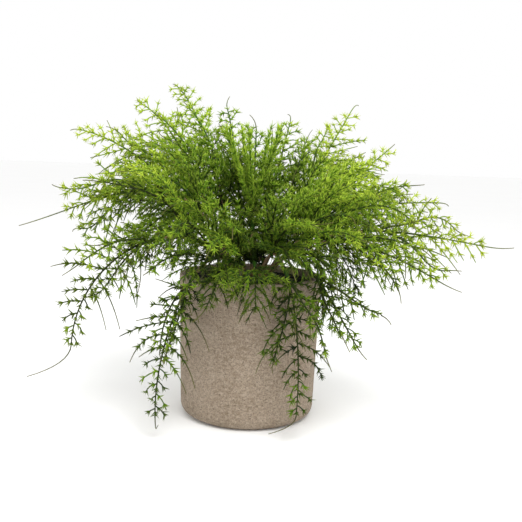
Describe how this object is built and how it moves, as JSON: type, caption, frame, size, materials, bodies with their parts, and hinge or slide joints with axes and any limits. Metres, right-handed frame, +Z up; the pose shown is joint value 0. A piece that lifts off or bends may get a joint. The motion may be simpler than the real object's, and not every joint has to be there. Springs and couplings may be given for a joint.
{
  "type": "artificial potted fern",
  "caption": "Artificial asparagus fern in a round moulded-pulp pot: wired stems arch from a plastic head over black soil, each with feathery sprays, and bend at the head.",
  "frame": {"origin": "middle of the pot's flat underside, on the surface it stands on", "axes": "+Z up along the pot's axis, +X to the right, -Y towards the front"},
  "size_m": [0.3777, 0.2128, 0.2624],
  "materials": {
    "pulp_pot": "matt moulded paper pulp, grey-brown with fine dark and light speckle",
    "cast_ballast": "rough grey cast cement",
    "dry_foam": "dry green floral foam",
    "black_soil": "near-black granules, matt with small glints",
    "head_plastic": "dark green moulded polyethylene",
    "wrapped_wire": "brown twisted paper wrap over wire",
    "leaf_plastic": "soft satin polyethylene, dark green inside to yellow-green at the tips"
  },
  "bodies": {
    "root": {"pot": "pulp_pot", "ballast_disc": "cast_ballast", "foam_plug": "dry_foam", "soil_cover": "black_soil", "bush_head": "head_plastic"},
    "branch_01": {"stem_01": "wrapped_wire", "spray_01": "leaf_plastic", "side_spray_01": "leaf_plastic"},
    "branch_02": {"stem_02": "wrapped_wire", "spray_02": "leaf_plastic", "side_spray_02": "leaf_plastic"},
    "branch_03": {"stem_03": "wrapped_wire", "spray_03": "leaf_plastic", "side_spray_03": "leaf_plastic"},
    "branch_04": {"stem_04": "wrapped_wire", "spray_04": "leaf_plastic", "side_spray_04": "leaf_plastic"},
    "branch_05": {"stem_05": "wrapped_wire", "spray_05": "leaf_plastic", "side_spray_05": "leaf_plastic"},
    "branch_06": {"stem_06": "wrapped_wire", "spray_06": "leaf_plastic", "side_spray_06": "leaf_plastic"},
    "branch_07": {"stem_07": "wrapped_wire", "spray_07": "leaf_plastic", "side_spray_07": "leaf_plastic"},
    "branch_08": {"stem_08": "wrapped_wire", "spray_08": "leaf_plastic", "side_spray_08": "leaf_plastic"},
    "branch_09": {"stem_09": "wrapped_wire", "spray_09": "leaf_plastic", "side_spray_09": "leaf_plastic"},
    "branch_10": {"stem_10": "wrapped_wire", "spray_10": "leaf_plastic", "side_spray_10": "leaf_plastic"},
    "branch_11": {"stem_11": "wrapped_wire", "spray_11": "leaf_plastic", "side_spray_11": "leaf_plastic"},
    "branch_12": {"stem_12": "wrapped_wire", "spray_12": "leaf_plastic", "side_spray_12": "leaf_plastic"},
    "branch_13": {"stem_13": "wrapped_wire", "spray_13": "leaf_plastic", "side_spray_13": "leaf_plastic"},
    "branch_14": {"stem_14": "wrapped_wire", "spray_14": "leaf_plastic"},
    "branch_15": {"stem_15": "wrapped_wire", "spray_15": "leaf_plastic", "side_spray_15": "leaf_plastic"},
    "branch_16": {"stem_16": "wrapped_wire", "spray_16": "leaf_plastic", "side_spray_16": "leaf_plastic"},
    "branch_17": {"stem_17": "wrapped_wire", "spray_17": "leaf_plastic", "side_spray_17": "leaf_plastic"},
    "branch_18": {"stem_18": "wrapped_wire", "spray_18": "leaf_plastic", "side_spray_18": "leaf_plastic"},
    "branch_centre": {"stem_centre": "wrapped_wire", "spray_centre": "leaf_plastic"}
  },
  "joints": [
    {"name": "bend_01", "type": "hinge", "parent": "root", "child": "branch_01", "pos_m": [0.01527, 0.00269, 0.1107], "axis": [0.1736, -0.9848, 0], "range_deg": [-10, 14]},
    {"name": "bend_02", "type": "hinge", "parent": "root", "child": "branch_02", "pos_m": [0.01342, 0.00775, 0.1107], "axis": [0.5, -0.866, 0], "range_deg": [-12, 10]},
    {"name": "bend_03", "type": "hinge", "parent": "root", "child": "branch_03", "pos_m": [0.00996, 0.01187, 0.1107], "axis": [0.766, -0.6428, 0], "range_deg": [-14, 8]},
    {"name": "bend_04", "type": "hinge", "parent": "root", "child": "branch_04", "pos_m": [0.0053, 0.01456, 0.1107], "axis": [0.9397, -0.342, 0], "range_deg": [-14, 6]},
    {"name": "bend_05", "type": "hinge", "parent": "root", "child": "branch_05", "pos_m": [0, 0.0155, 0.1107], "axis": [1, 0, 0], "range_deg": [-14, 5]},
    {"name": "bend_06", "type": "hinge", "parent": "root", "child": "branch_06", "pos_m": [-0.0053, 0.01456, 0.1107], "axis": [0.9397, 0.342, 0], "range_deg": [-14, 5]},
    {"name": "bend_07", "type": "hinge", "parent": "root", "child": "branch_07", "pos_m": [-0.00996, 0.01187, 0.1107], "axis": [0.766, 0.6428, 0], "range_deg": [-14, 7]},
    {"name": "bend_08", "type": "hinge", "parent": "root", "child": "branch_08", "pos_m": [-0.01342, 0.00775, 0.1107], "axis": [0.5, 0.866, 0], "range_deg": [-14, 8]},
    {"name": "bend_09", "type": "hinge", "parent": "root", "child": "branch_09", "pos_m": [-0.01527, 0.00269, 0.1107], "axis": [0.1736, 0.9848, 0], "range_deg": [-12, 10]},
    {"name": "bend_10", "type": "hinge", "parent": "root", "child": "branch_10", "pos_m": [-0.01527, -0.00269, 0.1107], "axis": [-0.1736, 0.9848, 0], "range_deg": [-8, 8]},
    {"name": "bend_11", "type": "hinge", "parent": "root", "child": "branch_11", "pos_m": [-0.01342, -0.00775, 0.1107], "axis": [-0.5, 0.866, 0], "range_deg": [-6, 14]},
    {"name": "bend_12", "type": "hinge", "parent": "root", "child": "branch_12", "pos_m": [-0.00996, -0.01187, 0.1107], "axis": [-0.766, 0.6428, 0], "range_deg": [-4, 14]},
    {"name": "bend_13", "type": "hinge", "parent": "root", "child": "branch_13", "pos_m": [-0.00479, -0.01474, 0.1107], "axis": [-0.9511, 0.309, 0], "range_deg": [-8, 14]},
    {"name": "bend_14", "type": "hinge", "parent": "root", "child": "branch_14", "pos_m": [0.00108, -0.01546, 0.1107], "axis": [-0.9976, -0.0698, 0], "range_deg": [-6, 14]},
    {"name": "bend_15", "type": "hinge", "parent": "root", "child": "branch_15", "pos_m": [0.00704, -0.01381, 0.1107], "axis": [-0.891, -0.454, 0], "range_deg": [-3, 14]},
    {"name": "bend_16", "type": "hinge", "parent": "root", "child": "branch_16", "pos_m": [0.01134, -0.01057, 0.1107], "axis": [-0.682, -0.7314, 0], "range_deg": [-8, 14]},
    {"name": "bend_17", "type": "hinge", "parent": "root", "child": "branch_17", "pos_m": [0.01393, -0.00679, 0.1107], "axis": [-0.4384, -0.8988, 0], "range_deg": [-8, 14]},
    {"name": "bend_18", "type": "hinge", "parent": "root", "child": "branch_18", "pos_m": [0.01535, -0.00216, 0.1107], "axis": [-0.1392, -0.9903, 0], "range_deg": [-8, 14]},
    {"name": "bend_centre", "type": "hinge", "parent": "root", "child": "branch_centre", "pos_m": [0, 0, 0.1107], "axis": [-1, 0, 0], "range_deg": [-4, 4]}
  ]
}
